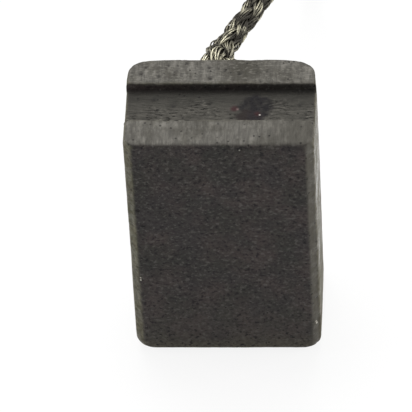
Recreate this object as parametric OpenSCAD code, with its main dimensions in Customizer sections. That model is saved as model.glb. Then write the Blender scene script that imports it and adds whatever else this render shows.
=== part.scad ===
// Carbon brush with a tamped braided shunt and a crimped ring terminal.
//
// The brush stands on its contact face. z = 0 is that face, +Z runs up to the slotted
// top, the broad front face looks towards -Y and the shunt leaves the back face. The
// middle of the contact face is x = y = 0. All sizes are in millimetres.

/* [Block] */
// Width of the block across its broad faces
block_w = 12.5; // [10:0.5:16]
// Thickness of the block from the front face to the back face
block_t = 8; // [7.5:0.5:9]
// Height of the block from the contact face to the top
block_h = 20; // [18:0.5:22]
// Chamfer on the upright edges and the lower edge of the front face
front_chamfer = 0.55; // [0.2:0.05:1]
// Radius of the two upright edges at the back
back_radius = 1.3; // [0.5:0.1:2]
// Radius of the two lower corners, seen from the front
foot_radius = 1.2; // [0.6:0.1:2]

/* [Top] */
// Width of the land between the front face and the spring slot
front_land = 2.4; // [1.5:0.1:2.6]
// Radius of the front edge of that land
land_radius = 0.35; // [0.1:0.05:0.6]
// Chamfer on the two ends of that land
land_end_chamfer = 0.3; // [0.1:0.05:0.6]
// Width of the slot that seats the pressure spring
slot_w = 3.3; // [2:0.1:3.6]
// Depth of the slot below the top
slot_depth = 0.7; // [0.3:0.1:0.8]
// Fillet at the foot of the slot's two walls
slot_fillet = 0.15; // [0.05:0.05:0.25]

/* [Shunt] */
// Diameter of the braided shunt
shunt_d = 1.5; // [1.2:0.1:1.7]
// Depth of the shunt's end inside the block
shunt_seat = 5; // [4:0.5:5.5]
// Diameter of the tamped hole in the back face
hole_d = 2.2; // [2:0.1:2.6]
// Depth of the tamped hole, without its drill point
hole_depth = 5.6; // [5.5:0.1:6]
// Distance from the top of the block down to the hole's axis
hole_drop = 2.3; // [2.2:0.1:3]
// Recess of the tamping compound below the back face
compound_recess = 0.15; // [0.05:0.05:0.4]

/* [Ring terminal] */
// Thickness of the terminal's sheet
sheet_t = 0.8; // [0.5:0.1:1]
// Height of the barrel's underside above the tongue's
barrel_lift = 0.1; // [0.05:0.05:0.3]
// Length of the crimped barrel
barrel_l = 5; // [4:0.5:6]
// Length of the open scoop between the barrel and the tongue
scoop_l = 1.6; // [1:0.1:2.5]
// Outer diameter of the eye
eye_d = 8; // [7:0.5:9]
// Diameter of the stud hole in the eye
stud_hole_d = 4.3; // [3.2:0.1:4.5]
// Distance from the barrel's mouth to the centre of the eye
eye_reach = 10.5; // [10:0.5:13]
// Depth of the two crimp dents in the barrel
crimp_depth = 0.35; // [0.1:0.05:0.4]
// Gap of the seam where the rolled sheet meets along the top of the barrel
seam_gap = 0.1; // [0.05:0.05:0.2]

/* [Hidden] */

$fn = 64;
spill = 1; // how far a cutting shape runs past the surface that it cuts
drill_point = 118; // included angle of the hole's conical bottom

hole_z = block_h - hole_drop;
back_y = block_t / 2;
barrel_d = shunt_d + 2 * sheet_t;
barrel_z = barrel_lift + barrel_d / 2;
terminal_x = 4.4; // where the terminal's axis lies, right of the block's middle
terminal_y = 38; // and where its barrel begins, behind it
crimp_r = 1.1; // radius of the crimping tool's two noses
crimp_places = [1.5, 3.5]; // their distances along the barrel

// Route of the shunt's centre line: straight out of its hole, over in a low arc and down
// to the terminal, which lies on the surface that the brush stands on.
route = [
    [0, back_y - shunt_seat, hole_z], [0, back_y - shunt_seat / 2, hole_z], [0, back_y, hole_z],
    [-0.1, 5.4, 17.7], [-0.1, 6.8, 17.7], [0.4, 8.3, 17.7], [1.4, 10.2, 17.8], [2.4, 12.4, 17.8],
    [3.4, 15, 17.5], [4, 17.5, 16.5], [4.3, 19.9, 14.8], [4.4, 22.1, 12.5],
    [4.4, 24.2, 9.9], [4.4, 26.4, 7.3], [4.4, 28.8, 5], [4.4, 31.6, 3.1],
    [4.4, 34.7, 2], [terminal_x, terminal_y, barrel_z],
    [terminal_x, terminal_y + barrel_l / 2, barrel_z],
    [terminal_x, terminal_y + barrel_l + scoop_l / 2, barrel_z]
];
shunt_sides = 8;

// ---- Shared shapes ----

// The waste outside a round corner whose arc has its centre at the origin and its
// corner towards +X and +Y.
module corner_waste(r) {
    difference() {
        square(r + spill);
        circle(r);
    }
}

// A right-angled notch that leaves a chamfer of width c on an edge at the origin.
module chamfer_waste(c) {
    rotate(45) square(c * sqrt(2), center = true);
}

// Carries a flat outline along X, with the outline's own x along Y and its y along Z.
module along_x(length) {
    rotate([90, 0, 90]) linear_extrude(length, center = true) children();
}

// Carries a flat outline along Y, with the outline's own x along X and its y along Z.
module along_y(length) {
    rotate([90, 0, 0]) linear_extrude(length, center = true) children();
}

// A round bar that runs from y = 0 towards +Y.
module bar_y(d, length) {
    rotate([-90, 0, 0]) cylinder(d = d, h = length);
}

// ---- Carbon block ----

// The block seen from above: chamfered in front and rounded at the back.
module block_plan() {
    difference() {
        square([block_w, block_t], center = true);
        for (side = [-1, 1]) translate([side * block_w / 2, -block_t / 2]) chamfer_waste(front_chamfer);
        for (side = [0, 1]) mirror([side, 0])
            translate([block_w / 2 - back_radius, back_y - back_radius]) corner_waste(back_radius);
    }
}

// The slot seen from the side, with its mouth's front edge at the origin.
module slot_outline() {
    difference() {
        translate([0, -slot_depth]) square([slot_w, slot_depth + spill]);
        translate([slot_fillet, slot_fillet - slot_depth]) rotate(180) corner_waste(slot_fillet);
        translate([slot_w - slot_fillet, slot_fillet - slot_depth]) rotate(-90) corner_waste(slot_fillet);
    }
}

// What the die and the slotting saw take off along the block's whole width.
module cross_cuts() {
    along_x(block_w + 2 * spill) {
        translate([-block_t / 2, 0]) chamfer_waste(front_chamfer);
        translate([land_radius - block_t / 2, block_h - land_radius]) rotate(90) corner_waste(land_radius);
        translate([front_land - block_t / 2, block_h]) slot_outline();
    }
}

// What the two lower corners and the two ends of the front land lose.
module end_cuts() {
    for (side = [0, 1]) mirror([side, 0, 0]) {
        along_y(block_t + 2 * spill)
            translate([block_w / 2 - foot_radius, foot_radius]) rotate(-90) corner_waste(foot_radius);
        translate([block_w / 2, front_land - block_t / 2, block_h])
            along_y(2 * front_land) chamfer_waste(land_end_chamfer);
    }
}

// The drilled hole with its conical bottom, turned about its axis. Its mouth lies at the
// origin and it runs towards -Y. extra makes it stand out of its mouth.
module drilled_hole(extra) {
    hole_r = hole_d / 2;
    point_h = hole_r / tan(drill_point / 2);
    rotate([-90, 0, 0]) rotate_extrude()
        polygon([[0, -hole_depth - point_h], [hole_r, -hole_depth], [hole_r, extra], [0, extra]]);
}

// The pressed carbon block, with its spring slot and the hole for the shunt.
module carbon_block() {
    color("#3b3937") difference() {
        linear_extrude(block_h) block_plan();
        cross_cuts();
        end_cuts();
        translate([0, back_y, hole_z]) drilled_hole(spill);
    }
}

// ---- Tamping compound ----

// The copper-filled compound that fills the hole round the shunt and below its end.
module tamping_compound() {
    color("#7a5142") translate([0, back_y, hole_z]) difference() {
        drilled_hole(-compound_recess);
        translate([0, -shunt_seat, 0]) bar_y(shunt_d, shunt_seat + spill);
    }
}

// ---- Shunt ----

function unit(v) = v / norm(v);

// Direction of the route at point i, from its two neighbours.
function heading(i) = unit(route[min(i + 1, len(route) - 1)] - route[max(i - 1, 0)]);

// One ring of the tube, square to the route at point i.
function tube_ring(i) =
    let (
        along = heading(i),
        across = unit(cross(along, [1, 0, 0])),
        over = cross(along, across)
    )
    [for (k = [0:shunt_sides - 1]) let (a = 360 * (k + 0.5) / shunt_sides)
        route[i] + shunt_d / 2 * (cos(a) * across + sin(a) * over)];

// Faces between ring i and ring i + 1.
function tube_band(i) =
    [for (k = [0:shunt_sides - 1]) let (a = i * shunt_sides, b = a + shunt_sides, n = (k + 1) % shunt_sides)
        [a + k, b + k, b + n, a + n]];

// The braided shunt as a plain tube, from its end in the block to its end in the barrel.
module shunt() {
    rings = len(route);
    points = [for (i = [0:rings - 1]) each tube_ring(i)];
    start_cap = [for (k = [0:shunt_sides - 1]) k];
    end_cap = [for (k = [shunt_sides - 1:-1:0]) (rings - 1) * shunt_sides + k];
    bands = [for (i = [0:rings - 2]) each tube_band(i)];
    color("#b9b4a2") polyhedron(points, concat([start_cap, end_cap], bands));
}

// ---- Ring terminal ----

// The flat tongue, its eye and the flare that joins it to the barrel.
module tongue_outline() {
    barrel_end = barrel_l + scoop_l / 4;
    shoulder = eye_reach - eye_d / 2;
    difference() {
        union() {
            translate([0, eye_reach]) circle(d = eye_d);
            polygon([
                [-barrel_d / 2, barrel_end], [barrel_d / 2, barrel_end],
                [eye_d / 3, shoulder + eye_d / 6], [-eye_d / 3, shoulder + eye_d / 6]
            ]);
        }
        translate([0, eye_reach]) circle(d = stud_hole_d);
    }
}

// The rolled barrel round its own axis, with its seam on top. Its far end is cut away on a
// slant to open it into the tongue.
module barrel() {
    slant = atan((barrel_d - sheet_t) / scoop_l);
    difference() {
        bar_y(barrel_d, barrel_l + scoop_l);
        translate([0, -spill, 0]) bar_y(shunt_d, barrel_l + scoop_l + 2 * spill);
        translate([-barrel_d, barrel_l, barrel_d / 2]) rotate([-slant, 0, 0])
            cube([2 * barrel_d, 2 * (barrel_d + scoop_l), barrel_d]);
        for (y = crimp_places) translate([-barrel_d, y, barrel_d / 2 + crimp_r - crimp_depth])
            rotate([0, 90, 0]) cylinder(r = crimp_r, h = 2 * barrel_d);
        translate([-seam_gap / 2, -spill, 0]) cube([seam_gap, barrel_l + scoop_l + 2 * spill, barrel_d]);
    }
}

// The stamped and rolled terminal, lying on the surface that the brush stands on.
module ring_terminal() {
    color("#c9c8c1") translate([terminal_x, terminal_y, 0]) {
        linear_extrude(sheet_t) tongue_outline();
        translate([0, 0, barrel_z]) barrel();
    }
}

carbon_block();
tamping_compound();
shunt();
ring_terminal();
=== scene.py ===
"""Looks of a carbon brush: worn carbon block, tamped hole, braided shunt and ring terminal.

Every size is in metres, in the part's own frame: z = 0 is the contact face, +Z runs up to
the slotted top, the broad front face looks towards -Y and the shunt leaves towards +Y.
"""
import functools
import itertools
import math

import bpy
import numpy as np
from mathutils import Matrix, Vector


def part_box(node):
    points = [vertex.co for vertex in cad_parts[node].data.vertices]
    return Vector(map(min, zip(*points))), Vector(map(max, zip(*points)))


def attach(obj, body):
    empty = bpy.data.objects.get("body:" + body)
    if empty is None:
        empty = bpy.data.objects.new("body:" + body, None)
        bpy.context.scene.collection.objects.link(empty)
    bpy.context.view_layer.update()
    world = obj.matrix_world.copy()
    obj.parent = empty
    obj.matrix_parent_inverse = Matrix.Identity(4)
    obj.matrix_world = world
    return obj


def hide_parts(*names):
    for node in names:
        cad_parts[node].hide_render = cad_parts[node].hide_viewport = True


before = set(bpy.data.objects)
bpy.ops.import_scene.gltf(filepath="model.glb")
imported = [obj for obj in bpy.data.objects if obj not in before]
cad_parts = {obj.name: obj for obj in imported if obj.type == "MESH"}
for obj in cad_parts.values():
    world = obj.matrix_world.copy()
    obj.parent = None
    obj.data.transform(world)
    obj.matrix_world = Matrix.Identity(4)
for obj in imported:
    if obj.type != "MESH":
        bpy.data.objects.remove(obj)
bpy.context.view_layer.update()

bl_info = {
    "name": "Carbon brush",
    "version": (1, 0, 0),
    "blender": (4, 5, 0),
    "location": "View3D > Sidebar > Carbon brush",
    "description": "Dresses the carbon brush with its worn block, braided shunt and terminal",
    "category": "Object",
}

MM = 0.001
TURN = 2 * math.pi
BLOCK_LOW, BLOCK_HIGH = (np.array(corner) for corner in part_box("carbon_block"))
TERMINAL_LOW, TERMINAL_HIGH = (np.array(corner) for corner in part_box("ring_terminal"))

# Route of the shunt's centre line in millimetres, from its end in the block, through the
# mouth of its hole and down to its end in the terminal.
ROUTE = np.array([
    (0, -1, 17.7), (0, 1.5, 17.7), (0, 4, 17.7),
    (-0.1, 5.4, 17.7), (-0.1, 6.8, 17.7), (0.4, 8.3, 17.7), (1.4, 10.2, 17.8), (2.4, 12.4, 17.8),
    (3.4, 15, 17.5), (4, 17.5, 16.5), (4.3, 19.9, 14.8), (4.4, 22.1, 12.5),
    (4.4, 24.2, 9.9), (4.4, 26.4, 7.3), (4.4, 28.8, 5), (4.4, 31.6, 3.1),
    (4.4, 34.7, 2), (4.4, 38, 1.65), (4.4, 40.5, 1.65), (4.4, 43.8, 1.65),
]) * MM
MOUTH = 2  # the point of the route at the mouth of the hole

DRILL_POINT = math.tan(math.radians(59))  # radius of the hole's conical bottom by its height
EDGE_PASSES, BEND_PASSES, MASK_PASSES = 4, 10, 8  # how often the block's points are relaxed
CRIMPS = (1.5 * MM, 3.5 * MM)  # where the barrel is crimped
CRIMP_NOSE = 1.1 * MM  # radius of the crimping tool's nose

# What is knocked out of the block, in millimetres: (x, y, z), radius and depth.
TOP, FLOOR, FRONT = 20, 19.3, -4
PITS = (
    *(((x, y, TOP), radius, depth) for x, y, radius, depth in (
        (-5, 3.3, 0.1, 0.1), (-3.5, 3.4, 0.09, 0.1), (-2.9, 3.4, 0.09, 0.1), (-2.3, 3.6, 0.11, 0.1),
        (-0.8, 3.2, 0.1, 0.1), (-0.2, 3.1, 0.09, 0.1), (-0.7, 2.2, 0.14, 0.12),
        (0.2, 2.9, 0.1, 0.08), (2.6, 1.9, 0.11, 0.1), (-5.3, 2.7, 0.16, 0.1),
        (-4.1, 2.4, 0.13, 0.08), (1.2, 2.6, 0.13, 0.08), (1.8, 4, 0.6, 0.04),
        (5.8, 3.7, 1.3, 0.15), (-5.7, 3.7, 1.5, 0.11), (-4.3, -1.6, 0.13, 0.1),
        (-3.5, -1.6, 0.15, 0.12), (-2.8, -1.6, 0.12, 0.1), (-1.6, -1.6, 0.13, 0.1),
        (4.7, -1.6, 0.14, 0.12), (5.3, -1.6, 0.12, 0.1))),
    *(((x, FRONT, z), radius, depth) for x, z, radius, depth in (
        (-5.8, 7.3, 0.13, 0.12), (6.05, 3.0, 0.13, 0.12), (1.5, 19.6, 0.12, 0.1),
        (-5.5, 13.9, 0.14, 0.12), (4.6, 16.8, 0.14, 0.1), (-1.1, 6.5, 0.12, 0.08))),
    *(((x, y, FLOOR), radius, depth) for x, y, radius, depth in (
        (-4.4, 0.9, 0.15, 0.08), (-3.1, 0.3, 0.16, 0.08), (5.2, 0.4, 0.14, 0.1))),
)
SMALL_PIT = 0.3

# Single coloured marks on the block: (x, y, z), inner and outer radius, and colour.
MARKS = (
    ((1.6, -0.6, FLOOR), 0.35, 0.75, (0.015, 0.011, 0.01)),
    ((2.3, -0.75, FLOOR), 0.35, 0.75, (0.014, 0.011, 0.012)),
    ((0.9, 0.05, FLOOR), 0.05, 0.36, (0.032, 0.013, 0.014)),
    ((1.13, 0.02, FLOOR), 0.02, 0.13, (0.12, 0.085, 0.08)),
    ((2.43, -0.42, FLOOR), 0.05, 0.3, (0.026, 0.01, 0.011)),
    ((2.6, -0.5, FLOOR), 0.01, 0.1, (0.5, 0.46, 0.42)),
    ((-5.65, FRONT, 7.4), 0.03, 0.1, (0.5, 0.48, 0.42)),
    ((-5.65, FRONT, 7.2), 0.03, 0.1, (0.5, 0.48, 0.42)),
    ((5.93, -3.74, 2.95), 0.03, 0.1, (0.4, 0.38, 0.33)),
    ((5.97, -3.7, 2.76), 0.03, 0.11, (0.5, 0.48, 0.42)),
    ((1.4, -3.95, 19.5), 0.02, 0.08, (0.35, 0.34, 0.3)),
)
BURNT_SPOT = (2.3, 0.2, FLOOR)
DARK_PLACES = (((5.6, -2.9, TOP), 4, 0.62), ((1.5, 3, TOP), 2.6, 0.85))  # reach and share

# Linear colours that no property sets: the block's blotches, grime and glints, the painted
# light along its foot and painted shade low on its right side, the copper of the compound
# and the white of the light.
BROWN, GREEN, SPECKLE = (0.057, 0.046, 0.043, 1), (0.032, 0.033, 0.028, 1), (0.014, 0.011, 0.012, 1)
# The foot colours are painted light from the floor: paler towards the foot, in patches and a low
# band.
FOOT_LIGHT_AND_DIRT, FOOT_LIGHT = (0.12, 0.11, 0.078, 1), (0.08, 0.073, 0.063, 1)
SPOTS, DUST, GLINTS = (0.01, 0.009, 0.01, 1), (0.1, 0.094, 0.086, 1), (0.16, 0.15, 0.14, 1)
LAND_STAIN, BURNT = (0.038, 0.035, 0.027, 1), (0.008, 0.007, 0.008, 1)
GREEN_EDGE, BROWN_EDGE = (0.085, 0.085, 0.06, 1), (0.088, 0.082, 0.074, 1)
# The side tint is painted shade: the right side darker low down, with a few grimy spots.
SIDE_SHADE_AND_DIRT = (0.046, 0.041, 0.027, 1)
DARK_COPPER, COPPER = (0.09, 0.035, 0.022, 1), (0.36, 0.15, 0.09, 1)
COPPER_PORES, COPPER_GLINTS = (0.02, 0.012, 0.01, 1), (0.75, 0.38, 0.26, 1)
WHITE = (1, 1, 1, 1)

OWN_WHITE = 0.87  # how much of what the camera sees of the floor is its own even white
LAMPS = (  # name, place, width and power
    ("top_lamp", (-0.05, 0.25, 0.6), 0.4, 3.5),
    ("left_lamp", (-0.6, 0.05, 0.25), 0.3, 2),
    ("right_lamp", (0.6, 0.1, 0.25), 0.3, 2),
)


# ---- What a user may change ----

def length(name, millimetres, description):
    """A length property whose default is given in millimetres."""
    return bpy.props.FloatProperty(
        name=name, description=description, default=millimetres * MM, unit="LENGTH", precision=5)


def colour(name, red, green, blue, description):
    """A linear colour property."""
    return bpy.props.FloatVectorProperty(
        name=name, description=description, default=(red, green, blue), subtype="COLOR",
        size=3, min=0, max=1)


class BRUSH_PG_block(bpy.types.PropertyGroup):
    """Sizes and colours of the carbon block. Its outer sizes come from the frame."""
    front_chamfer: length("Front chamfer", 0.55, "Chamfer on the front's upright and lower edges")
    back_radius: length("Back radius", 1.3, "Radius of the two upright edges at the back")
    foot_radius: length("Foot radius", 1.2, "Radius of the two lower corners")
    front_land: length("Front land", 2.4, "Width of the land in front of the spring slot")
    land_radius: length("Land radius", 0.35, "Radius of the front edge of that land")
    land_chamfer: length("Land chamfer", 0.3, "Chamfer on the two ends of that land")
    slot_width: length("Slot width", 3.3, "Width of the spring slot")
    slot_depth: length("Slot depth", 0.7, "Depth of the spring slot")
    hole_radius: length("Hole radius", 1.1, "Radius of the tamped hole in the back face")
    hole_depth: length("Hole depth", 5.6, "Depth of the tamped hole")
    hole_height: length("Hole height", 17.7, "Height of the hole's axis above the contact face")
    unevenness: length("Unevenness", 0.02, "How far the pressed faces rise and fall")
    chip_depth: length("Chip depth", 0.13, "Depth of the chips along the edges")
    skin: colour("Skin", 0.04, 0.036, 0.035, "Colour of the pressed faces")
    ground: colour("Ground", 0.097, 0.092, 0.081, "Colour of the ground lands")
    sawn: colour("Sawn", 0.051, 0.048, 0.041, "Colour of the slot's sawn floor")
    rubbed: colour("Rubbed", 0.094, 0.087, 0.062, "Colour of the rubbed edges and sides")


class BRUSH_PG_shunt(bpy.types.PropertyGroup):
    """Sizes and colours of the braided shunt."""
    diameter: length("Diameter", 1.5, "Diameter over the braid")
    wire: length("Wire", 0.105, "Diameter of one wire")
    lay: length("Lay", 8.6, "Length in which a bundle goes once round the braid")
    bundles: bpy.props.IntProperty(
        name="Bundles", description="Bundles that run each way round", default=4, min=2, max=8)
    wires: bpy.props.IntProperty(
        name="Wires", description="Wires in one bundle", default=12, min=3, max=16)
    tin: colour("Tin", 0.48, 0.455, 0.345, "Colour of the bright tinned wires")
    tarnish: colour("Tarnish", 0.036, 0.032, 0.024, "Colour of the tarnish between the wires")


class BRUSH_PG_terminal(bpy.types.PropertyGroup):
    """Sizes and colours of the ring terminal. Its place comes from the frame."""
    sheet: length("Sheet", 0.8, "Thickness of the sheet")
    bore: length("Bore", 0.75, "Radius of the barrel's bore")
    barrel_length: length("Barrel length", 5, "Length of the crimped barrel")
    scoop_length: length("Scoop length", 1.6, "Length of the open scoop behind the barrel")
    eye_radius: length("Eye radius", 4, "Outer radius of the eye")
    stud_radius: length("Stud radius", 2.15, "Radius of the stud hole")
    edge: length("Edge", 0.12, "Rounding of the stamped edges")
    seam: length("Seam", 0.1, "Gap where the rolled sheet meets")
    crimp_depth: length("Crimp depth", 0.35, "Depth of the two crimp dents")
    tin: colour("Tin", 0.47, 0.465, 0.44, "Colour of the tin plate")
    tarnish: colour("Tarnish", 0.3, 0.28, 0.24, "Colour of the dull patches in the plate")


class BRUSH_PG_stage(bpy.types.PropertyGroup):
    """Floor and light."""
    floor: colour("Floor", 0.9, 0.9, 0.9, "Colour of the floor")
    floor_size: length("Floor size", 3000, "Width of the floor")
    sky: bpy.props.FloatProperty(
        name="Sky", description="Strength of the even light from all round", default=0.4, min=0)


# ---- Arrays and meshes ----

def put_object(name, data):
    """A new object of the scene that holds the data."""
    made = bpy.data.objects.new(name, data)
    bpy.context.scene.collection.objects.link(made)
    return made


def put_mesh(name, points, faces, material, **values):
    """Makes a smooth-shaded object at the origin.

    points is an array of places, faces a list of arrays of corner numbers, and each of the
    values an array with one number for each point."""
    mesh = bpy.data.meshes.new(name)
    mesh.from_pydata(points, [], [face for part in faces for face in part.tolist()],
                     shade_flat=False)
    for key, numbers in values.items():
        layer = mesh.attributes.new(key, "FLOAT", "POINT")
        layer.data.foreach_set("value", numbers.astype(np.float32))
    mesh.materials.append(material)
    return put_object(name, mesh)


def grid_faces(rows, columns, first=0, wrap=False, loop=False):
    """Quads of a grid whose points are numbered row by row from first.

    With wrap the last column joins the first one again, and with loop the last row the
    first one."""
    row, column = np.indices((rows if loop else rows - 1, columns if wrap else columns - 1))
    beyond, beside = (row + 1) % rows, (column + 1) % columns
    corners = [row * columns + column, row * columns + beside,
               beyond * columns + beside, beyond * columns + column]
    return first + np.stack(corners, -1).reshape(-1, 4)


def tube_faces(rings, around, first=0):
    """Faces of a tube of rings, whose points are numbered from first: quads and two caps."""
    ring = first + np.arange(around)
    return [grid_faces(rings, around, first, wrap=True),
            np.array([ring[::-1], ring + (rings - 1) * around])]


def smooth_noise(points, size, seed):
    """Smooth noise from -1 to 1 that changes over that size.

    Random values stand at the corners of a cubic grid, and between them each axis is
    blended by 3t^2 - 2t^3."""
    count = 32
    corners = np.random.default_rng(seed).uniform(-1, 1, (count, count, count))
    cell = points / size
    low = np.floor(cell).astype(int)
    t = cell - low
    t = t * t * (3 - 2 * t)
    total = np.zeros(points.shape[:-1])
    for corner in itertools.product((0, 1), repeat=3):
        at = np.moveaxis((low + corner) % count, -1, 0)
        total += np.prod(np.where(corner, t, 1 - t), axis=-1) * corners[at[0], at[1], at[2]]
    return total


def unit(vectors):
    """The vectors scaled to length 1, along the last axis."""
    return vectors / np.maximum(np.linalg.norm(vectors, axis=-1, keepdims=True), 1e-12)


def ticks(*stretches):
    """Places along a line: each stretch is (start, end, steps), and the next one carries on."""
    parts = [np.linspace(start, end, steps + 1)[:-1] for start, end, steps in stretches]
    return np.concatenate([*parts, [stretches[-1][1]]])


def smoothstep(low, high, x):
    """0 below low, 1 above high and 3t^2 - 2t^3 between."""
    t = np.clip((x - low) / (high - low), 0, 1)
    return t * t * (3 - 2 * t)


# ---- Nodes ----

class Nodes:
    """Adds nodes to one tree. An input is either linked to an output or set to a value."""

    def __init__(self, tree):
        self.tree = tree

    @functools.cached_property
    def here(self):
        """Object coordinates in millimetres."""
        return self.place()

    @functools.cached_property
    def axes(self):
        """The same, part by part, by the names X, Y and Z."""
        return self.add("SeparateXYZ", {"Vector": self.here}).outputs

    def feed(self, sockets, values):
        """Links each named socket to an output, or gives it a value."""
        for name, value in values.items():
            if isinstance(value, bpy.types.NodeSocket):
                self.tree.links.new(value, sockets[name])
            else:
                sockets[name].default_value = value

    def add(self, kind, inputs, **settings):
        """A new node of that kind with its settings and inputs."""
        node = self.tree.nodes.new("ShaderNode" + kind)
        for name, value in settings.items():
            setattr(node, name, value)
        self.feed(node.inputs, inputs)
        return node

    def math(self, operation, *values):
        """The result of an operation on one to three numbers."""
        return self.add("Math", dict(enumerate(values)), operation=operation).outputs[0]

    def ramp(self, value, low, high, start=0.0, end=1.0):
        """Start below low, end above high and a smooth rise between."""
        inputs = {"Value": value, "From Min": low, "From Max": high, "To Min": start, "To Max": end}
        return self.add("MapRange", inputs, interpolation_type="SMOOTHSTEP").outputs[0]

    def mix(self, share, first, second):
        """Two colours mixed by a share."""
        return self.add("Mix", {0: share, 6: first, 7: second}, data_type="RGBA").outputs[2]

    def times(self, *shares):
        """The product of some numbers."""
        return functools.reduce(lambda one, other: self.math("MULTIPLY", one, other), shares)

    def cover(self, base, colour, *shares):
        """The base covered by a colour, as far as the product of the shares says."""
        return self.mix(self.times(*shares), base, colour)

    def value(self, name):
        """A number that each point of the mesh carries."""
        return self.add("Attribute", {}, attribute_name=name).outputs["Fac"]

    def place(self, centre=(0, 0, 0), scale=(1, 1, 1)):
        """Object coordinates in millimetres from the centre, scaled along each axis."""
        inputs = {"Vector": self.add("TexCoord", {}).outputs["Object"],
                  "Location": [-c * factor for c, factor in zip(centre, scale)],
                  "Scale": [1 / MM * factor for factor in scale]}
        return self.add("Mapping", inputs).outputs[0]

    def noise(self, vector, scale, detail, roughness=0.5):
        """Noise from 0 to 1 with so many cells to the unit."""
        inputs = {"Vector": vector, "Scale": scale, "Detail": detail, "Roughness": roughness}
        return self.add("TexNoise", inputs).outputs[0]

    def patches(self, noise, ramp, **place):
        """Noise put through a ramp, each with its own arguments, at a place of its own."""
        vector = self.place(**place) if place else self.here
        return self.ramp(self.noise(vector, *noise), *ramp)

    def group(self, name, **inputs):
        """The outputs of a node group, which is built when it is first used."""
        tree = bpy.data.node_groups.get(name) or GROUPS[name]()
        return self.add("Group", inputs, node_tree=tree).outputs

    def marks(self, stretch, scale):
        """Tool marks on coordinates stretched so much along each axis."""
        return self.group("tool_marks", Vector=self.place(scale=stretch), Scale=scale)["Marks"]

    def bump(self, height, strength, depth):
        """A normal that a height tilts."""
        inputs = {"Height": height, "Strength": strength, "Distance": depth}
        return self.add("Bump", inputs).outputs[0]


def new_group(name, inputs, outputs):
    """An empty node group: its Nodes, its inputs by name and a function that closes it.

    inputs and outputs are the sockets' names, with a space between."""
    kinds = {"Vector": "Vector", "Bright": "Color", "Dull": "Color", "Colour": "Color"}
    tree = bpy.data.node_groups.new(name, "ShaderNodeTree")
    for sockets, way in ((inputs, "INPUT"), (outputs, "OUTPUT")):
        for socket in sockets.split():
            kind = "NodeSocket" + kinds.get(socket, "Float")
            tree.interface.new_socket(socket, in_out=way, socket_type=kind)
    source = tree.nodes.new("NodeGroupInput").outputs
    sink = tree.nodes.new("NodeGroupOutput").inputs
    nodes = Nodes(tree)

    def close(**results):
        nodes.feed(sink, results)
        return tree
    return nodes, source, close


def grain_group():
    """Powder grain: a speckle from 0 to 1, pores, which are 1 in the holes between grains, and
    glints, which are 1 on the few bright grains."""
    nodes, source, close = new_group("grain", "Vector Scale", "Speckle Pores Glints")
    vector, scale = source["Vector"], source["Scale"]
    fine = nodes.noise(vector, scale, 3, 0.65)
    coarse = nodes.noise(vector, nodes.times(scale, 0.37), 2)
    speckle = nodes.math("MULTIPLY_ADD", nodes.math("SUBTRACT", coarse, 0.5), 0.25, fine)
    cells = nodes.add("TexVoronoi", {"Vector": vector, "Scale": nodes.times(scale, 0.7)})
    pick = nodes.add("SeparateColor", {"Color": cells.outputs["Color"]}).outputs
    middle = nodes.ramp(cells.outputs["Distance"], 0.12, 0.3, 1, 0)
    pores = nodes.times(middle, nodes.ramp(pick["Red"], 0.74, 0.8))
    glints = nodes.times(middle, nodes.ramp(pick["Green"], 0.8, 0.9))
    return close(Speckle=nodes.ramp(speckle, 0.34, 0.66), Pores=pores, Glints=glints)


def marks_group():
    """Tool marks: streaks from 0 to 1 that run along the axis that is stretched least."""
    nodes, source, close = new_group("tool_marks", "Vector Scale", "Marks")
    wide = nodes.noise(source["Vector"], source["Scale"], 3, 0.7)
    fine = nodes.noise(source["Vector"], nodes.times(source["Scale"], 2.7), 1)
    both = nodes.math("MULTIPLY_ADD", nodes.math("SUBTRACT", fine, 0.5), 0.5, wide)
    return close(Marks=nodes.ramp(both, 0.3, 0.72))


def tarnish_group():
    """Tin that has gone dull in patches: its colour, its roughness and the dull share."""
    nodes, source, close = new_group(
        "tarnish", "Vector Scale Shade Bright Dull", "Colour Roughness Share")
    patches = nodes.ramp(nodes.noise(source["Vector"], source["Scale"], 4, 0.6), 0.35, 0.7)
    share = nodes.math("ADD", patches, source["Shade"])
    share = nodes.math("MINIMUM", nodes.math("MAXIMUM", share, 0), 1)
    return close(Colour=nodes.mix(share, source["Bright"], source["Dull"]),
                 Roughness=nodes.ramp(share, 0, 1, 0.32, 0.65), Share=share)


GROUPS = {"grain": grain_group, "tool_marks": marks_group, "tarnish": tarnish_group}


# ---- Materials ----

def new_material(name):
    """A material, the Nodes of its tree and the inputs of its Principled BSDF."""
    made = bpy.data.materials.new(name)
    made.use_nodes = True
    return made, Nodes(made.node_tree), made.node_tree.nodes["Principled BSDF"].inputs


def shade(colour_value, factor=1.0):
    """A linear colour made darker or lighter, as a colour with alpha."""
    return (*[min(1, part * factor) for part in colour_value], 1)


def near_point(nodes, point, inner, outer, ragged):
    """1 within the inner radius of the point and 0 beyond the outer one.

    Noise moves that edge in and out by up to half of ragged."""
    away = nodes.add("VectorMath", {0: nodes.here, 1: point}, operation="DISTANCE").outputs[1]
    wander = nodes.math("SUBTRACT", nodes.noise(nodes.here, 1.7, 4, 0.6), 0.5)
    return nodes.ramp(nodes.math("MULTIPLY_ADD", wander, ragged, away), inner, outer, 1, 0)


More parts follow.
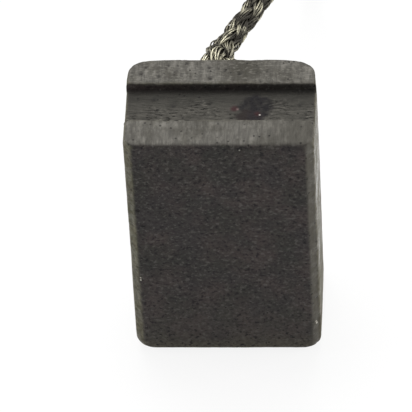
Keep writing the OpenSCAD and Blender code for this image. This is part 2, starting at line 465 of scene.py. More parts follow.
def pressed_skin(nodes, sizes, grain):
    """The pressed faces: broad brown and green blotches under a faint speckle, with sparse
    dark and pale spots, short pale dashes, and painted light along the foot, paler in patches."""
    height = nodes.axes["Z"]
    brown = nodes.patches((0.35, 4, 0.6), (0.38, 0.62))
    green = nodes.patches((0.4, 4, 0.6), (0.4, 0.65), centre=(7, 3, 5))
    # Painted light from the floor: paler patches, and a paler band at the very foot.
    foot = nodes.times(nodes.ramp(height, 0.5, 2.4, 0.6, 0), brown)
    foot = nodes.math("MAXIMUM", foot, nodes.ramp(height, 0.55, 1.7, 0.85, 0))
    fine = nodes.noise(nodes.place(scale=(2, 1, 2.4)), 1.7, 3, 0.55)
    dashes = nodes.patches((1.8, 3, 0.6), (0.61, 0.7), scale=(2.4, 1, 4))
    bright = nodes.math("MAXIMUM", nodes.times(dashes, 0.6), grain["Glints"])
    skin = shade(sizes.skin)
    # The two foot tints below paint light along the foot, paler the lower the face.
    for tint, *shares in ((BROWN, brown), (GREEN, green, 0.7), (FOOT_LIGHT_AND_DIRT, foot),
                          (FOOT_LIGHT, nodes.ramp(height, 0, 7, 0.4, 0)),
                          (SPECKLE, nodes.ramp(grain["Speckle"], 0, 1, 0.4, 0)),
                          (SPOTS, nodes.ramp(fine, 0.57, 0.67, 0, 0.9)),
                          (DUST, nodes.ramp(fine, 0.33, 0.44, 0.55, 0)), (GLINTS, bright, 0.55)):
        skin = nodes.cover(skin, tint, *shares)
    return skin


def ground_land(nodes, sizes):
    """The two lands: grinding marks across the brush, soft pale and brown patches and two
    darker places. The rear one also has fine torn scratches along it."""
    marks = nodes.marks((5, 0.5, 1), 0.9)
    pale = nodes.patches((1.6, 4, 0.65), (0.44, 0.68), scale=(1.5, 0.5, 1))
    dark = nodes.times(nodes.patches((0.7, 5, 0.7), (0.42, 0.66), centre=(3, 8, 1)), 0.6)
    for point, reach, share in DARK_PLACES:
        patch = nodes.times(near_point(nodes, point, 0.3, reach, 1.2), share)
        dark = nodes.math("MAXIMUM", dark, patch)
    rear = nodes.ramp(nodes.axes["Y"], 1.4, 1.7, 0, 0.35)
    torn = nodes.noise(nodes.place(scale=(2, 5, 1)), 1.4, 3, 0.6)
    land = nodes.mix(marks, shade(sizes.ground, 0.72), shade(sizes.ground, 1.18))
    land = nodes.cover(land, shade(sizes.ground, 2.0), pale, 0.65)
    land = nodes.cover(land, LAND_STAIN, dark)
    land = nodes.cover(land, shade(sizes.ground, 2.2), rear, nodes.ramp(torn, 0.36, 0.46, 1, 0))
    return nodes.cover(land, shade(sizes.ground, 0.25), rear, nodes.ramp(torn, 0.56, 0.64))


def sawn_floor(nodes, sizes):
    """The slot's floor: saw marks along it, patches of torn dents, and painted shade that
    deepens towards the rear wall.

    Returns the colour and the mask of the dents."""
    across = nodes.axes["Y"]
    torn = nodes.noise(nodes.place(scale=(1.6, 5, 1)), 1.4, 3, 0.6)
    patch = nodes.patches((0.45, 2), (0.4, 0.6, 0.15, 1), centre=(2, 5, 4))
    front = nodes.times(nodes.ramp(across, 0.2, 1.3, 1, 0.1), patch)
    dents = nodes.times(nodes.ramp(torn, 0.56, 0.62), front)
    pale = nodes.times(nodes.ramp(torn, 0.36, 0.44, 1, 0), front)
    marks = nodes.marks((0.7, 5, 1), 1.1)
    floor = nodes.mix(marks, shade(sizes.sawn, 0.7), shade(sizes.sawn, 1.35))
    # Painted shade, darker towards the slot's rear wall.
    floor = nodes.cover(floor, shade(sizes.sawn, 0.3), nodes.ramp(across, -0.6, 1.5, 0, 0.7))
    floor = nodes.cover(floor, shade(sizes.sawn, 2.6), pale, 0.6)
    return nodes.cover(floor, shade(sizes.sawn, 0.1), dents, 0.9), dents


def rubbed_edges(nodes, sizes, speckle):
    """The rubbed edges and sides: speckled, greener in places and browner to the right, with
    upright scores. The right side is painted darker low down as shade, with a few grimy spots.

    Returns the colour and the mask of that painted shade and grime."""
    worn = nodes.mix(speckle, shade(sizes.rubbed, 0.6), shade(sizes.rubbed, 1.3))
    green = nodes.patches((0.9, 2), (0.4, 0.65))
    spots = nodes.patches((2.6, 3, 0.6), (0.55, 0.61), centre=(0, 4, 2))
    # Painted shade: the right side darker the lower it lies, plus a few grimy spots.
    shade_and_dirt = nodes.math("MAXIMUM", nodes.ramp(nodes.axes["Z"], 4, 12, 0.55, 0), spots)
    shade_and_dirt = nodes.times(shade_and_dirt, nodes.ramp(nodes.axes["X"], 6.02, 6.18, 0, 0.8))
    worn = nodes.cover(worn, GREEN_EDGE, green, 0.5)
    worn = nodes.cover(worn, BROWN_EDGE, nodes.ramp(nodes.axes["X"], 0, 5, 0, 0.7))
    worn = nodes.cover(worn, shade(sizes.rubbed, 0.55), nodes.marks((5, 5, 0.3), 0.8), 0.35)
    return nodes.cover(worn, SIDE_SHADE_AND_DIRT, shade_and_dirt), shade_and_dirt


def with_marks(nodes, base):
    """The base colour with its single marks: a dark round spot with two rusty places and a
    bright metal speck on the slot's floor, and fresh bright chips on the front edges."""
    spot = near_point(nodes, BURNT_SPOT, 0.85, 1.3, 1.1)
    base = nodes.cover(base, BURNT, spot, nodes.patches((2.4, 4, 0.6), (0.45, 0.65, 1, 0.7)))
    for point, inner, outer, tint in MARKS:
        base = nodes.cover(base, shade(tint), near_point(nodes, point, inner, outer, outer))
    return base


def carbon_material(sizes):
    """Pressed carbon: a dark speckled skin, paler where it is ground, sawn or rubbed, with a
    painted sheen on the polish of the sides and painted shade in its creases and small holes.
    """
    made, nodes, shader = new_material("carbon")
    ground, rubbed, hollow = (nodes.value(name) for name in ("ground", "rubbed", "hollow"))
    grain = nodes.group("grain", Vector=nodes.here, Scale=4.2)
    on_floor = nodes.ramp(nodes.axes["Z"], 19.45, 19.75, 1, 0)
    floor, dents = sawn_floor(nodes, sizes)
    flat = nodes.mix(on_floor, ground_land(nodes, sizes), floor)
    worn, shade_and_dirt = rubbed_edges(nodes, sizes, grain["Speckle"])
    ragged = nodes.math("MULTIPLY_ADD", nodes.noise(nodes.here, 2.5, 3), 0.5, rubbed)
    rubbed, polish_and_sheen = nodes.ramp(ragged, 0.3, 0.95), nodes.ramp(ragged, 0.95, 1.3)

    base = nodes.mix(ground, pressed_skin(nodes, sizes, grain), flat)
    # Painted sheen: the polish of the sides is painted lighter; its lower roughness is real.
    base = nodes.mix(rubbed, base, nodes.cover(worn, shade(sizes.rubbed, 1.5), polish_and_sheen, 0.6))
    base = nodes.cover(base, shade(sizes.skin, 0.25), grain["Pores"], 0.8)
    # Painted shade in concave creases and in the small pit holes.
    base = nodes.cover(base, shade(sizes.skin, 0.3), hollow, 0.85)
    rough = nodes.patches((1.5, 4, 0.75), (0.42, 0.58, -0.25, 0.33), scale=(1, 0.12, 1))
    rough = nodes.math("MULTIPLY_ADD", rough, rubbed, 0.62)
    rough = nodes.math("MULTIPLY_ADD", shade_and_dirt, 0.42, rough)
    height = nodes.math("MULTIPLY_ADD", grain["Pores"], -1.4, grain["Speckle"])
    torn = nodes.times(dents, nodes.times(on_floor, ground))
    height = nodes.math("MULTIPLY_ADD", torn, -2.5, height)
    nodes.feed(shader, {
        "Base Color": with_marks(nodes, base), "Specular IOR Level": 0.12,
        "Roughness": nodes.math("MULTIPLY_ADD", polish_and_sheen, -0.25, rough),
        "Normal": nodes.bump(height, 0.8, 0.02 * MM)})
    return made


def wire_material(sizes):
    """Tinned wire: bright where it stands out, brown and dull down between the bundles, as
    tarnish and painted shade, and for some millimetres behind the block."""
    made, nodes, shader = new_material("tinned_wire")
    away = nodes.axes["Y"]
    dull = nodes.math("MINIMUM", nodes.ramp(away, 4, 10, -0.25, 0.45),
                      nodes.ramp(away, 10.5, 15, 0.45, 0.12))
    # The lower a wire lies, the duller and darker: tarnish, and painted shade under the bundles.
    dull = nodes.math("MULTIPLY_ADD", nodes.value("depth"), 1.2, dull)
    dull = nodes.math("MULTIPLY_ADD", nodes.value("strand"), 0.3, dull)
    tin = nodes.group("tarnish", Vector=nodes.here, Scale=1.2, Shade=dull,
                      Bright=shade(sizes.tin), Dull=shade(sizes.tarnish))
    nodes.feed(shader, {"Base Color": tin["Colour"], "Roughness": tin["Roughness"],
                        "Metallic": nodes.ramp(tin["Share"], 0.4, 1, 1, 0.5)})
    return made


def plate_material(sizes):
    """Tin plate with faint roll marks and a few dull patches."""
    made, nodes, shader = new_material("tin_plate")
    tin = nodes.group("tarnish", Vector=nodes.place(centre=TERMINAL_LOW / MM), Scale=0.5,
                      Shade=-0.35, Bright=shade(sizes.tin), Dull=shade(sizes.tarnish))
    marks = nodes.marks((9, 0.5, 9), 1)
    nodes.feed(shader, {
        "Base Color": nodes.cover(tin["Colour"], shade(sizes.tin, 0.75), marks, 0.2),
        "Roughness": nodes.math("ADD", tin["Roughness"], 0.12), "Metallic": 1,
        "Normal": nodes.bump(marks, 0.4, 0.006 * MM)})
    return made


def compound_material():
    """Tamped copper powder, brown with bright specks."""
    made, nodes, shader = new_material("copper_compound")
    grain = nodes.group("grain", Vector=nodes.here, Scale=6.0)
    base = nodes.mix(grain["Speckle"], DARK_COPPER, COPPER)
    base = nodes.mix(grain["Pores"], base, COPPER_PORES)
    nodes.feed(shader, {
        "Base Color": nodes.mix(grain["Glints"], base, COPPER_GLINTS), "Roughness": 0.55,
        "Metallic": nodes.ramp(grain["Speckle"], 0.5, 1, 0.1, 0.7),
        "Normal": nodes.bump(grain["Speckle"], 0.8, 0.05 * MM)})
    return made


# ---- Carbon block ----

def turn_corner(u, v, corner_u, corner_v, r, power):
    """Draws in one corner of a flat outline, and returns the new u and v.

    Inside the square of side r at the corner, with its inner corner as centre, a point at
    (a, b) moves along its own direction until |a|^p + |b|^p is max(a, b)^p. Power 1 makes
    a chamfer, 2 an arc."""
    side_u, side_v = np.sign(corner_u), np.sign(corner_v)
    centre_u, centre_v = corner_u - side_u * r, corner_v - side_v * r
    a = np.maximum((u - centre_u) * side_u, 0)
    b = np.maximum((v - centre_v) * side_v, 0)
    inside = (a > 0) & (b > 0)
    far = np.where(inside, (a ** power + b ** power) ** (1 / power), 1)
    shrink = np.where(inside, np.maximum(a, b) / far, 1)
    return (np.where(inside, centre_u + side_u * a * shrink, u),
            np.where(inside, centre_v + side_v * b * shrink, v))


def lattice_surface(counts):
    """The surface of a box lattice with that many lines along X, Y and Z.

    Returns the lattice numbers of its points, one row each, and its quads facing outwards."""
    lattice, quads = np.arange(np.prod(counts)).reshape(counts), []
    for axis in range(3):
        for end in (0, -1):
            face = np.transpose(lattice, (axis, (axis + 1) % 3, (axis + 2) % 3))[end]
            corners = face.ravel()[grid_faces(*face.shape)]
            quads.append(corners if end == 0 else corners[:, ::-1])
    kept, quads = np.unique(np.concatenate(quads), return_inverse=True)
    return np.stack(np.unravel_index(kept, counts), -1), quads.reshape(-1, 4)


def spread_over(values, quads, count):
    """For each point the sum, over its quads' edges, of the value at the edge's other end."""
    one, other = quads.ravel(), np.roll(quads, -1, axis=1).ravel()
    ends, mates = np.concatenate([one, other]), np.concatenate([other, one])
    return np.bincount(ends, values[mates], count)


def relax(values, quads, passes):
    """Moves each row of values halfway to the mean of its neighbours, so many times over."""
    count = len(values)
    edges = spread_over(np.ones(count), quads, count)
    for _ in range(passes):
        mean = np.stack([spread_over(column, quads, count) / edges for column in values.T], -1)
        values = (values + mean) / 2
    return values


def point_normals(points, quads):
    """Outward direction at each point: the sum of its quads' crossed diagonals."""
    corner = points[quads]
    facing = np.cross(corner[:, 2] - corner[:, 0], corner[:, 3] - corner[:, 1])
    total = [np.bincount(quads.ravel(), np.repeat(part, 4), len(points)) for part in facing.T]
    return unit(np.stack(total, -1))


def top_section(sizes):
    """The top's section from front to back, as Y and Z, and the even Y below each of its points.

    It runs over the front land, down the slot's wall, along its floor, up the other wall and
    over the rear land."""
    half_t, high = BLOCK_HIGH[1], BLOCK_HIGH[2]
    edge, corner = sizes.front_chamfer - half_t, half_t - sizes.back_radius
    slot_front, depth = sizes.front_land - half_t, sizes.slot_depth
    slot_back, wall, floor = slot_front + sizes.slot_width, 9, 30
    land = (-half_t, edge, 8), (edge, slot_front, 18)
    rear = (slot_back, corner, 9), (corner, half_t, 14)
    y = ticks(*land, (slot_front, slot_front, wall), (slot_front, slot_back, floor),
              (slot_back, slot_back, wall), *rear)
    drop = ticks((0, 0, 8 + 18), (0, depth, wall), (depth, depth, floor), (depth, 0, wall),
                 (0, 0, 9 + 14))
    below = ticks(*land, (slot_front, slot_back, 2 * wall + floor), *rear)
    return y, high - drop, below


def block_lattice(sizes):
    """The block as a lattice drawn into shape, before wear.

    X and Z follow the lattice lines and Y leads from even places at the foot to the top's
    section. Then each edge is drawn in by its chamfer or radius."""
    half_w, half_t, high = BLOCK_HIGH
    r, hole_z = sizes.hole_radius, sizes.hole_height
    inner = half_w - sizes.front_chamfer
    across = ticks((-half_w, -inner, 8), (-inner, -r, 46), (-r, r, 28), (r, inner, 46),
                   (inner, half_w, 8))
    up = ticks((0, sizes.foot_radius, 14), (sizes.foot_radius, hole_z - r, 84),
               (hole_z - r, hole_z + r, 28), (hole_z + r, high, 14))
    top_y, top_z, below = top_section(sizes)
    numbers, quads = lattice_surface((len(across), len(top_y), len(up)))
    i, j, k = numbers.T
    rise = up[k] / high
    x = across[i]
    y = below[j] + rise * (top_y[j] - below[j])
    z = rise * top_z[j] - high / 2
    on_land = y < sizes.front_land - half_t + 1e-7
    for side in (-1, 1):
        x, y = turn_corner(x, y, side * half_w, -half_t, sizes.front_chamfer, 1)
        x, y = turn_corner(x, y, side * half_w, half_t, sizes.back_radius, 2)
    y, z = turn_corner(y, z, -half_t, -high / 2, sizes.front_chamfer, 1)
    y, z = turn_corner(y, z, -half_t, high / 2, sizes.land_radius, 2)
    for side in (-1, 1):
        x, z = turn_corner(x, z, side * half_w, -high / 2, sizes.foot_radius, 2)
        cut_x, cut_z = turn_corner(x, z, side * half_w, high / 2, sizes.land_chamfer, 1)
        x, z = np.where(on_land, cut_x, x), np.where(on_land, cut_z, z)
    return np.stack([x, y, z + high / 2], -1), quads, j == len(top_y) - 1


def sink_hole(points, on_back, sizes):
    """Takes the middle of the back face down the drilled hole.

    Outside the mouth, out to 1.6 times its radius, squares round the hole's axis turn into
    circles. Inside it each square becomes a circle further down the wall, and the innermost
    ones the drill point."""
    r = sizes.hole_radius
    away = np.stack([points[:, 0], points[:, 2] - sizes.hole_height], -1)
    reach = np.maximum(np.abs(away).max(1), 1e-9)
    flat = np.maximum(np.linalg.norm(away, axis=1), 1e-9)
    inward = np.clip(1 - reach / r, 0, 1)
    wall_share = 0.8
    point_share = np.clip((inward - wall_share) / (1 - wall_share), 0, 1)
    in_hole = on_back & (reach < r * (1 + 1e-6))
    scale = 1 + (1 - smoothstep(r, 1.6 * r, reach)) * (reach / flat - 1)
    scale = np.where(in_hole, r * (1 - point_share) / flat, scale)
    deep = sizes.hole_depth * np.clip(inward / wall_share, 0, 1)
    deep = deep + point_share * r / DRILL_POINT
    sunk = points.copy()
    sunk[on_back, 0] = (away[:, 0] * scale)[on_back]
    sunk[on_back, 2] = (sizes.hole_height + away[:, 1] * scale)[on_back]
    sunk[in_hole, 1] -= deep[in_hole]
    return sunk


def wear(points, convex, sizes):
    """How far each point moves along its normal, and how dark it is painted as a pit, from 0 to 1.

    Slow noise makes the faces uneven. Along the edges, and less at the back, two sizes of
    chips come off where their noise is high. Each pit is a bell-shaped hole of its own radius
    and depth, and the small ones are painted dark: painted shade, and grime."""
    shift = sizes.unevenness * (smooth_noise(points, 3.1 * MM, 3) - 0.4)
    shift += 0.3 * sizes.unevenness * smooth_noise(points, 0.35 * MM, 4)
    chips = smoothstep(0.35, 0.8, smooth_noise(points, 0.7 * MM, 5))
    nicks = smoothstep(0.2, 0.7, smooth_noise(points, 0.24 * MM, 6))
    edge = convex * (1 - 0.7 * smoothstep(2 * MM, 3.5 * MM, points[:, 1]))
    shift -= sizes.chip_depth * edge * (chips + 0.4 * nicks)
    shade_and_dirt = np.zeros(len(points))
    for place, radius, depth in PITS:
        away = np.linalg.norm(points - np.array(place) * MM, axis=1) / (radius * MM)
        shift -= depth * MM * np.exp(-away ** 2)
        if radius < SMALL_PIT:
            shade_and_dirt = np.maximum(shade_and_dirt, np.exp(-away ** 2))
    return shift, shade_and_dirt


def block_piece(sizes):
    """The worn carbon block: the lattice relaxed, which rounds its edges, and then worn.

    What looks up is ground, and what looks sideways or down is rubbed, as the edges are.
    Nothing of it goes past the block's box."""
    points, quads, on_back = block_lattice(sizes)
    soft = relax(sink_hole(points, on_back, sizes), quads, EDGE_PASSES)
    normals = point_normals(soft, quads)
    bend = ((relax(soft, quads, BEND_PASSES) - soft) * normals).sum(1)
    convex = smoothstep(0.01 * MM, 0.05 * MM, -bend)
    # Concave places are painted with shade in the carbon's colour.
    hollow = smoothstep(0.01 * MM, 0.06 * MM, bend)
    shift, pit_shade = wear(soft, convex, sizes)
    half_w, half_t, high = BLOCK_HIGH
    moved = np.clip(soft + normals * shift[:, None], (-half_w, -half_t, 0), BLOCK_HIGH)
    upward = normals[:, 2] > 0.7
    turned = np.maximum(np.abs(normals[:, 0]), -normals[:, 2])
    turned = np.where(upward, 0, 0.7 * (turned > 0.4) + 0.3 * (turned > 0.9))
    ground = (upward & (soft[:, 2] > high / 2)).astype(float)
    ground, rubbed, hollow, convex = relax(
        np.stack([ground, turned, hollow, convex], -1), quads, MASK_PASSES).T
    return put_mesh("worn_block", moved, [quads], carbon_material(sizes), ground=ground,
                    rubbed=np.clip(rubbed + 0.7 * convex, 0, 1), hollow=np.maximum(hollow, pit_shade))


# ---- Shunt ----

def smooth_route(points, steps):
    """Catmull-Rom curve through the points: each span is a cubic whose slope at a point is
    half the way from the point before to the point after. steps places lie in each span."""
    padded = np.vstack([2 * points[0] - points[1], points, 2 * points[-1] - points[-2]])
    before, start, end, after = (padded[n:n + len(points) - 1, None] for n in range(4))
    t = (np.arange(steps) / steps)[:, None]
    spans = start + t / 2 * (end - before) + t * t / 2 * (2 * before - 5 * start + 4 * end - after)
    spans = spans + t ** 3 / 2 * (3 * start - before - 3 * end + after)
    return np.vstack([spans.reshape(-1, 3), points[-1]])


def evenly(points, spacing):
    """The same line with its points that far apart, and their distances along it."""
    along = np.concatenate([[0], np.cumsum(np.linalg.norm(np.diff(points, axis=0), axis=1))])
    places = np.linspace(0, along[-1], int(round(along[-1] / spacing)) + 1)
    return on_line(points, along, places), places


def on_line(line, along, places):
    """Points of the line at those distances along it."""
    return np.stack([np.interp(places.ravel(), along, line[:, axis]).reshape(places.shape)
                     for axis in range(3)], -1)


def across_line(lines):
    """Two directions square to each line at each point: one as near as it can be to the Y-Z
    plane, and one square to that."""
    heading = unit(np.gradient(lines, axis=-2))
    over = unit(np.cross(heading, [1, 0, 0]))
    return over, np.cross(heading, over)


def tubes(lines, radius, sides):
    """Points and faces of tubes round many lines at once. lines is wires x stations x 3.

    A ring is line + radius (cos a over + sin a beside), square to the line, with a flat cap
    at each end."""
    wires, stations, _ = lines.shape
    over, beside = across_line(lines)
    angle = (np.arange(sides) * TURN / sides)[:, None]
    rings = lines[:, :, None] + radius * (np.cos(angle) * over[:, :, None]
                                          + np.sin(angle) * beside[:, :, None])
    first = np.arange(wires)[:, None, None] * stations * sides
    return rings.reshape(-1, 3), [(first + part).reshape(-1, part.shape[1])
                                  for part in tube_faces(stations, sides)]


def braid_wires(sizes, along):
    """Where each wire runs in the braid: its angle, its radius and a number that is its own.

    A bundle runs round the braid at an even pace, one set each way. At the angle t and the
    distance s the bundles of one set ride outward by cos(n/2 (t + k s)) and those of the
    other set inward, with n bundles a set and k = turn / lay, so they cross over and under
    in turn. The wires of a bundle stand in an ellipse round its middle, and the ellipse
    turns slowly, as the wires are twisted."""
    n, k = sizes.bundles, TURN / sizes.lay
    mean, wave, wide, thick = (share * sizes.diameter for share in (0.325, 0.115, 0.175, 0.065))
    bundle, wire = np.divmod(np.arange(n * sizes.wires)[:, None], sizes.wires)
    first, own = TURN * bundle / n, TURN * wire / sizes.wires
    angles, radii = [], []
    for way in (-1, 1):
        seed = np.arange(len(first))[:, None] * 7 + 3 + way
        place = np.stack(np.broadcast_arrays(along * 1.0, seed * 1.7 * MM, 0 * along), -1)
        slow = smooth_noise(place, 1.3 * MM, 21 + way)
        quick = smooth_noise(place, 0.7 * MM, 31 + way)
        twist = own + way * TURN * along / (0.7 * sizes.lay)
        side = wide * np.cos(twist) + 0.05 * MM * slow
        lift = thick * np.sin(twist) + 0.045 * MM * quick
        crossing = np.cos(n * k * along + way * n / 2 * side / mean)
        radii.append(mean + wave * way * crossing + lift)
        angles.append(first + side / mean + way * k * along)
    radii, angles = np.concatenate(radii), np.concatenate(angles)
    strand = np.random.default_rng(8).uniform(-1, 1, (len(radii), 1)) + 0 * radii
    return angles, radii, strand


def shunt_piece(sizes):
    """The braided shunt from inside the hole's mouth to its cut end in the terminal.

    Near the mouth the bundles spring apart in a bell-shaped swelling, mostly to the left. In
    the terminal the wires gather to a full bundle, and each is cut at a length of its own."""
    line, along = evenly(smooth_route(ROUTE[MOUTH - 1:], 12), 0.28 * MM)
    past = (line[:, 1] - ROUTE[MOUTH, 1]) / MM
    swell = np.exp(-((past - 1.7) / 1.4) ** 2)
    line = line + np.stack([-0.28 * MM * swell, 0 * swell, 0.1 * MM * swell], -1)
    angle, radius, strand = braid_wires(sizes, along)
    # How far down a wire lies, which its colour darkens as tarnish and painted shade.
    depth = 1 - smoothstep(0.22, 0.47, radius / sizes.diameter)
    draw = np.random.default_rng(12).uniform(0, 1, (2, len(radius), 1))
    gather = smoothstep(along[-1] - 3 * MM, along[-1] - 1.2 * MM, along)
    packed = 0.45 * sizes.diameter * np.sqrt(draw[0])
    radius = radius * (1 + 0.6 * swell) * (1 - gather) + packed * gather
    places = along - 0.5 * MM * draw[1] * smoothstep(along[-1] - 1.5 * MM, along[-1], along)
    over, beside = across_line(line)
    wires = on_line(line, along, places) + radius[..., None] * (
        np.cos(angle)[..., None] * over + np.sin(angle)[..., None] * beside)
    sides, core_sides, short = 5, 12, 8  # the core ends 8 stations short of the wires
    points, faces = tubes(wires, sizes.wire / 2, sides)
    core, core_faces = tubes(line[None, :-short], 0.2 * sizes.diameter, core_sides)
    faces += [part + len(points) for part in core_faces]
    depth, strand = (np.append(np.repeat(part, sides), np.ones(len(core)))
                     for part in (depth, strand))
    return put_mesh("braided_shunt", np.concatenate([points, core]), faces,
                    wire_material(sizes), depth=depth, strand=strand)


# ---- Tamping compound ----

def compound_piece(sizes):
    """Tamped copper compound round the shunt: a profile turned about the hole's axis.

    Its face is a ring that dishes towards the wall, roughened by noise."""
    r, depth, steps = sizes.hole_radius, sizes.hole_depth, 96
    point = r / DRILL_POINT
    face_r = ticks((0.55 * MM, 0.97 * r, 12))
    face_y = -0.12 * MM - 0.08 * MM * smoothstep(0.8 * r, r, face_r)
    radius = np.concatenate([[face_r[0]], face_r, [0.99 * r, 0.99 * r, 0.02 * r]])
    y = np.concatenate([[-3 * MM], face_y, [-0.3 * MM, -depth, -depth - point]])
    angle = np.arange(steps) * TURN / steps
    rings = np.stack([radius[:, None] * np.cos(angle), BLOCK_HIGH[1] + y[:, None] + 0 * angle,
                      sizes.hole_height + radius[:, None] * np.sin(angle)], -1)
    rough = 0.07 * MM * smooth_noise(rings, 0.22 * MM, 41)
    rings[1:-3, :, 1] += rough[1:-3]
    return put_mesh("hole_compound", rings.reshape(-1, 3), tube_faces(len(radius), steps),
                    compound_material())


# ---- Ring terminal ----

def sheet_loop(thickness, edge):
    """Once round the cut edge-on sheet: for each point its share of the sheet's length, an
    offset from there and its height, with rounded corners."""
    parts = []
    for end in (1, 0):
        share = np.linspace(1 - end, end, 26)[1:-1]
        parts.append([share, edge * (1 - 2 * share), (1 - end) * thickness + 0 * share])
        for quarter in (2 - 2 * end, 3 - 2 * end):
            angle = np.radians(90 * quarter + np.linspace(0, 90, 4))
            middle = edge if quarter in (0, 3) else thickness - edge
            parts.append([end + 0 * angle, edge * (1 - 2 * end + np.sin(angle)),
                          middle - edge * np.cos(angle)])
    return np.concatenate(parts, axis=1)


def terminal_plate(sizes, eye, tongue_end):
    """The eye and its tongue: the sheet's section carried round the stud hole.

    At each angle the section reaches from the hole to the outline. That is the eye's circle
    or, towards the barrel, a straight line that widens from the barrel's half width to two
    thirds of the eye's radius."""
    angle = ticks((0, TURN, 144))[:-1]
    toward = np.abs((angle - 0.75 * TURN + TURN / 2) % TURN - TURN / 2)
    half, reach, wide = sizes.bore + sizes.sheet, eye[1] - tongue_end, 2 / 3 * sizes.eye_radius
    slope = (wide - half) / (reach - wide)
    side_reach = (half + slope * reach) / (np.sin(toward) + slope * np.cos(toward))
    end_reach = reach / np.maximum(np.cos(toward), 0.1)
    tongue = np.where(toward < math.atan(1 / slope), np.minimum(side_reach, end_reach), 0)
    outline = np.maximum(sizes.eye_radius, tongue)
    share, offset, height = sheet_loop(sizes.sheet, sizes.edge)
    away = sizes.stud_radius + share * (outline[:, None] - sizes.stud_radius) + offset
    return np.stack([eye[0] + away * np.cos(angle)[:, None], eye[1] + away * np.sin(angle)[:, None],
                     height + 0 * away], -1)


def terminal_barrel(sizes, x, start, axis_z):
    """The rolled barrel: the sheet's section carried round from seam to seam.

    At the angle a from the bottom the far end is cut back the more the higher it lies.
    Each crimp presses the top nine tenths of the way down to the nose of a round tool, and
    makes the barrel up to 12 % wider there."""
    outer = sizes.bore + sizes.sheet
    low = 0.75 * MM  # further than this below the axis nothing is cut back
    seam = math.asin(sizes.seam / 2 / outer)
    a = np.linspace(-TURN / 2 + seam, TURN / 2 - seam, 97)[:, None]
    share, offset, height = sheet_loop(sizes.sheet, sizes.edge)
    climb = np.clip((-np.cos(a) * outer + low) / (outer + low), 0, 1)
    y = share * (sizes.barrel_length + sizes.scoop_length * (1 - climb)) + offset
    r = outer - height
    side, up = r * np.sin(a), -r * np.cos(a)
    for place in CRIMPS:
        nose = np.sqrt(np.maximum(CRIMP_NOSE ** 2 - (y - place) ** 2, 0))
        nose = outer - sizes.crimp_depth + CRIMP_NOSE - nose
        ceiling = np.where(np.abs(y - place) < CRIMP_NOSE, nose, 2 * outer) - height * 0.8
        pressed = np.clip(up - ceiling, 0, None)
        side, up = side * (1 + 0.12 * pressed / sizes.crimp_depth), up - 0.9 * pressed
    return np.stack([x + side, start + y, axis_z + up], -1)


def terminal_piece(sizes):
    """The stamped and rolled ring terminal: its plate, which is one closed loop of sections,
    and its barrel, an open one."""
    x = (TERMINAL_LOW[0] + TERMINAL_HIGH[0]) / 2
    start = TERMINAL_LOW[1]
    tongue_end = start + sizes.barrel_length + sizes.scoop_length / 4
    plate = terminal_plate(sizes, (x, TERMINAL_HIGH[1] - sizes.eye_radius), tongue_end)
    barrel = terminal_barrel(sizes, x, start, TERMINAL_HIGH[2] - sizes.bore - sizes.sheet)
    steps, around = plate.shape[:2]
    faces = [grid_faces(steps, around, wrap=True, loop=True)[:, [0, 3, 2, 1]],
             *tube_faces(len(barrel), around, steps * around)]
    points = np.concatenate([plate.reshape(-1, 3), barrel.reshape(-1, 3)])
    return put_mesh("crimped_terminal", points, faces, plate_material(sizes))


# ---- Stage ----

def seen_directly(nodes):
    """1 for what the camera sees, also in a mirror or through glass, and 0 for other light."""
    path = nodes.add("LightPath", {}).outputs
    seen = nodes.math("MAXIMUM", path["Is Camera Ray"], path["Is Glossy Ray"])
    return nodes.math("MAXIMUM", seen, path["Is Transmission Ray"])


def floor_piece(sizes):
    """A plain pale floor. Most of what the camera sees of it is its own even white, so that
    the object's shadow stays faint."""
    half = sizes.floor_size / 2
    points = np.array([(-half, -half, 0), (half, -half, 0), (half, half, 0), (-half, half, 0)])
    made, nodes, shader = new_material("floor")
    nodes.feed(shader, {"Base Color": shade(sizes.floor), "Roughness": 0.8,
                        "Specular IOR Level": 0})
    white = nodes.add("Emission", {"Color": WHITE, "Strength": 1}).outputs[0]
    lit = made.node_tree.nodes["Principled BSDF"].outputs[0]
    blend = nodes.add("MixShader", {0: nodes.times(seen_directly(nodes), OWN_WHITE),
                                    1: lit, 2: white})
    nodes.feed(made.node_tree.nodes["Material Output"].inputs, {"Surface": blend.outputs[0]})
    return put_mesh("floor", points, [np.arange(4)[None]], made)


def add_camera():
    """A long lens that looks down at the front from a little to its right, rolled slightly."""
    turned = Matrix.Identity(3)
    for degrees, axis in ((4.69, "Z"), (44.01, "X"), (-3.39, "Z")):
        turned @= Matrix.Rotation(math.radians(degrees), 3, axis)
    # To its right, up and back from the middle of the front edge on the floor, in widths of
    # the block.
    place = turned @ Vector((-0.1259, 0.7951, 29.91)) * (BLOCK_HIGH[0] - BLOCK_LOW[0])
    place += Vector((0, BLOCK_LOW[1], 0))
    camera = bpy.data.cameras.new("camera")
    camera.sensor_width, camera.lens = 36, 483.9
    camera.clip_start, camera.clip_end = 0.01, 10
    placed = put_object("camera", camera)
    placed.matrix_world = Matrix.LocRotScale(place, turned, None)
    bpy.context.scene.camera = placed


def add_lamp(name, place, size, power):
    """A square soft lamp that faces the block."""
    lamp = bpy.data.lights.new(name, "AREA")
    lamp.size, lamp.energy = size, power
    placed = put_object(name, lamp)
    placed.location = place
    placed.rotation_euler = (-Vector(place)).to_track_quat("-Z", "Y").to_euler()


def add_sky(strength):
    """An even white light from all round, and a white background behind everything."""
    world = bpy.data.worlds.new("sky")
    bpy.context.scene.world = world
    world.use_nodes = True
    nodes = Nodes(world.node_tree)
    level = nodes.add("MapRange", {"Value": seen_directly(nodes), "To Min": strength, "To Max": 1})
    nodes.feed(world.node_tree.nodes["Background"].inputs,
               {"Color": WHITE, "Strength": level.outputs[0]})


# ---- Operators ----

def place_piece(piece, node):
    """The piece rides on the only body and stands in for its CAD node, which it hides."""
    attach(piece, "root")
    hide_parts(node)
    return {"FINISHED"}


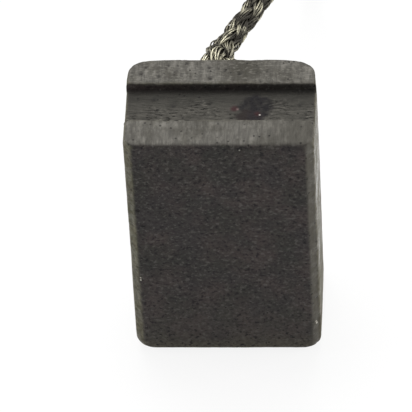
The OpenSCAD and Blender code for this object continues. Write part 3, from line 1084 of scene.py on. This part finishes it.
class BRUSH_OT_block(bpy.types.Operator):
    """Build the worn carbon block in place of its plain solid"""
    bl_idname = "brush.block"
    bl_label = "Carbon block"

    def execute(self, context):
        return place_piece(block_piece(context.scene.brush_block), "carbon_block")


class BRUSH_OT_compound(bpy.types.Operator):
    """Build the tamped copper compound round the shunt"""
    bl_idname = "brush.compound"
    bl_label = "Tamping compound"

    def execute(self, context):
        compound = compound_piece(context.scene.brush_block)
        return place_piece(compound, "tamping_compound")


class BRUSH_OT_terminal(bpy.types.Operator):
    """Build the stamped, rolled and crimped ring terminal"""
    bl_idname = "brush.terminal"
    bl_label = "Ring terminal"

    def execute(self, context):
        terminal = terminal_piece(context.scene.brush_terminal)
        return place_piece(terminal, "ring_terminal")


class BRUSH_OT_shunt(bpy.types.Operator):
    bl_idname = "brush.shunt"
    bl_label = "Braided shunt"

    def execute(self, context):
        sizes = context.scene.brush_shunt
        shunt = shunt_piece(sizes)
        place_piece(shunt, "shunt")
        return {"FINISHED"}


class BRUSH_OT_stage(bpy.types.Operator):
    """Set up the floor, the light and the camera"""
    bl_idname = "brush.stage"
    bl_label = "Stage"

    def execute(self, context):
        sizes = context.scene.brush_stage
        floor_piece(sizes)
        add_camera()
        add_sky(sizes.sky)
        for lamp in LAMPS:
            add_lamp(*lamp)
        context.scene.view_settings.view_transform = "Standard"
        return {"FINISHED"}


class BRUSH_PT_panel(bpy.types.Panel):
    """The brush's pieces, in the order in which they are built"""
    bl_idname = "BRUSH_PT_panel"
    bl_label = "Carbon brush"
    bl_space_type = "VIEW_3D"
    bl_region_type = "UI"
    bl_category = "Carbon brush"

    def draw(self, context):
        for step in STEPS:
            self.layout.operator(step.bl_idname)


SETTINGS = {"brush_block": BRUSH_PG_block, "brush_shunt": BRUSH_PG_shunt,
            "brush_terminal": BRUSH_PG_terminal, "brush_stage": BRUSH_PG_stage}
STEPS = (BRUSH_OT_block, BRUSH_OT_compound, BRUSH_OT_terminal, BRUSH_OT_shunt, BRUSH_OT_stage)
KINDS = (*SETTINGS.values(), *STEPS, BRUSH_PT_panel)


def register():
    for kind in KINDS:
        bpy.utils.register_class(kind)
    for name, kind in SETTINGS.items():
        setattr(bpy.types.Scene, name, bpy.props.PointerProperty(type=kind))


def unregister():
    for name in SETTINGS:
        delattr(bpy.types.Scene, name)
    for kind in reversed(KINDS):
        bpy.utils.unregister_class(kind)


def main():
    """Builds the brush."""
    register()
    bpy.ops.brush.block()
    bpy.ops.brush.compound()
    bpy.ops.brush.terminal()
    bpy.ops.brush.shunt()
    bpy.ops.brush.stage()


if __name__ == "__main__":
    main()
